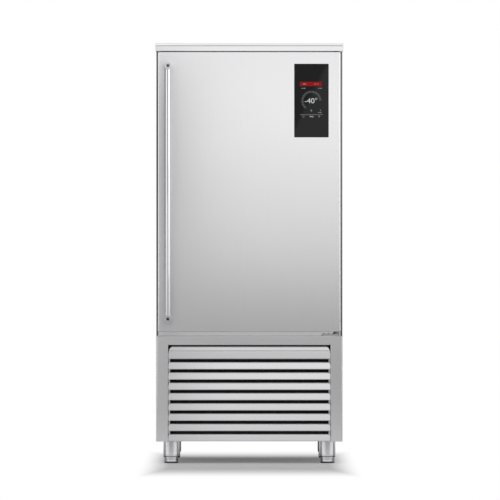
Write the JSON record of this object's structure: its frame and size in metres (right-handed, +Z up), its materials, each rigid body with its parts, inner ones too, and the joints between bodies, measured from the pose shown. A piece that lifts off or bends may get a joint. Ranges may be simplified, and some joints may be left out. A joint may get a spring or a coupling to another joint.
{
  "type": "blast chiller",
  "caption": "Upright stainless steel blast chiller with a hinged insulated door, long bar handle, touch display and a louvred machine bay on round feet.",
  "frame": {"origin": "bottom centre of the whole object, on the floor", "axes": "+Z up, the door faces -Y, +X to the right of someone facing the door"},
  "size_m": [0.81, 0.87, 1.815],
  "materials": {
    "stainless_steel": "satin brushed",
    "liner_steel": "satin",
    "polished_steel": "polished stainless",
    "zinc_steel": "zinc plated",
    "aluminium_fins": "finned",
    "black_paint": "satin paint",
    "copper": "drawn copper tube",
    "foam": "rigid foam",
    "black_rubber": "matt",
    "dark_plastic": "fine grain",
    "white_nylon": "plain",
    "filter_mesh": "black mesh",
    "dark_screw": "blackened",
    "black_glass": "gloss black"
  },
  "bodies": {
    "cabinet": {"side_panel_left": "stainless_steel", "side_panel_right": "stainless_steel", "back_panel": "stainless_steel", "roof_panel": "stainless_steel", "bulkhead": "stainless_steel", "insulation": "foam", "liner": "liner_steel", "door_frame": "liner_steel", "breaker_strip": "dark_plastic", "top_fascia": "stainless_steel", "top_lid": "stainless_steel", "lower_hinge_plate": "liner_steel", "upper_hinge_plate": "liner_steel", "hinge_pins": "polished_steel", "hinge_screws": "polished_steel", "surround": "stainless_steel", "base_tray": "zinc_steel", "bay_posts": "zinc_steel", "foot_sleeves": "polished_steel", "rear_vent": "stainless_steel", "condenser_filter": "filter_mesh", "condenser_coil": "aluminium_fins", "condenser_shroud": "zinc_steel", "condenser_motor": "black_paint", "compressor": "black_paint", "compressor_grommets": "black_rubber", "liquid_receiver": "black_paint", "filter_drier": "black_paint", "refrigerant_pipes": "copper", "electrical_box": "dark_plastic", "cable_gland": "dark_plastic", "condensate_pan": "dark_plastic", "drain_pipe": "dark_plastic", "evaporator_coil": "aluminium_fins", "duct_frame": "liner_steel", "rack_posts": "liner_steel", "tray_runners_left": "liner_steel", "tray_runners_right": "liner_steel", "probe_gland": "liner_steel"},
    "door": {"door_skin": "stainless_steel", "door_foam": "foam", "door_liner": "liner_steel", "door_gasket": "black_rubber", "door_bushes": "white_nylon", "handle_bar": "polished_steel", "handle_posts": "polished_steel", "handle_screws": "dark_screw", "display_glass": "black_glass", "display_housing": "dark_plastic"},
    "grille": {"grille": "stainless_steel"},
    "condenser_fan": {"condenser_fan": "dark_plastic"},
    "fan_panel": {"fan_panel": "liner_steel", "evaporator_motors": "black_paint"},
    "evaporator_fan_lower": {"evaporator_fan_lower": "dark_plastic"},
    "evaporator_fan_upper": {"evaporator_fan_upper": "dark_plastic"},
    "foot_front_left": {"foot_front_left": "polished_steel"},
    "foot_front_right": {"foot_front_right": "polished_steel"},
    "foot_back_left": {"foot_back_left": "polished_steel"},
    "foot_back_right": {"foot_back_right": "polished_steel"},
    "drain_plug": {"drain_plug": "dark_plastic"}
  },
  "joints": [
    {"name": "door_hinge", "type": "hinge", "parent": "cabinet", "child": "door", "pos_m": [0.377, -0.34, 1.173], "axis": [0, 0, 1], "range_deg": [0, 110]},
    {"name": "grille_tilt", "type": "hinge", "parent": "cabinet", "child": "grille", "pos_m": [0, -0.356, 0.105], "axis": [1, 0, 0], "range_deg": [0, 80]},
    {"name": "condenser_fan_spin", "type": "hinge", "parent": "cabinet", "child": "condenser_fan", "pos_m": [-0.1, -0.163, 0.297], "axis": [0, 1, 0], "continuous": true},
    {"name": "fan_panel_swing", "type": "hinge", "parent": "cabinet", "child": "fan_panel", "pos_m": [-0.296, 0.157, 1.19], "axis": [0, 0, -1], "range_deg": [0, 45]},
    {"name": "evaporator_fan_lower_spin", "type": "hinge", "parent": "fan_panel", "child": "evaporator_fan_lower", "pos_m": [-0.01, 0.173, 0.96], "axis": [0, 1, 0], "continuous": true},
    {"name": "evaporator_fan_upper_spin", "type": "hinge", "parent": "fan_panel", "child": "evaporator_fan_upper", "pos_m": [-0.01, 0.173, 1.42], "axis": [0, 1, 0], "continuous": true},
    {"name": "drain_plug_lift", "type": "slide", "parent": "cabinet", "child": "drain_plug", "axis": [0, 0, 1], "range_m": [0, 0.03]},
    {"name": "foot_front_left_screw", "type": "slide", "parent": "cabinet", "child": "foot_front_left", "axis": [0, 0, -1], "range_m": [0, 0.04]},
    {"name": "foot_front_right_screw", "type": "slide", "parent": "cabinet", "child": "foot_front_right", "axis": [0, 0, -1], "range_m": [0, 0.04]},
    {"name": "foot_back_left_screw", "type": "slide", "parent": "cabinet", "child": "foot_back_left", "axis": [0, 0, -1], "range_m": [0, 0.04]},
    {"name": "foot_back_right_screw", "type": "slide", "parent": "cabinet", "child": "foot_back_right", "axis": [0, 0, -1], "range_m": [0, 0.04]}
  ]
}
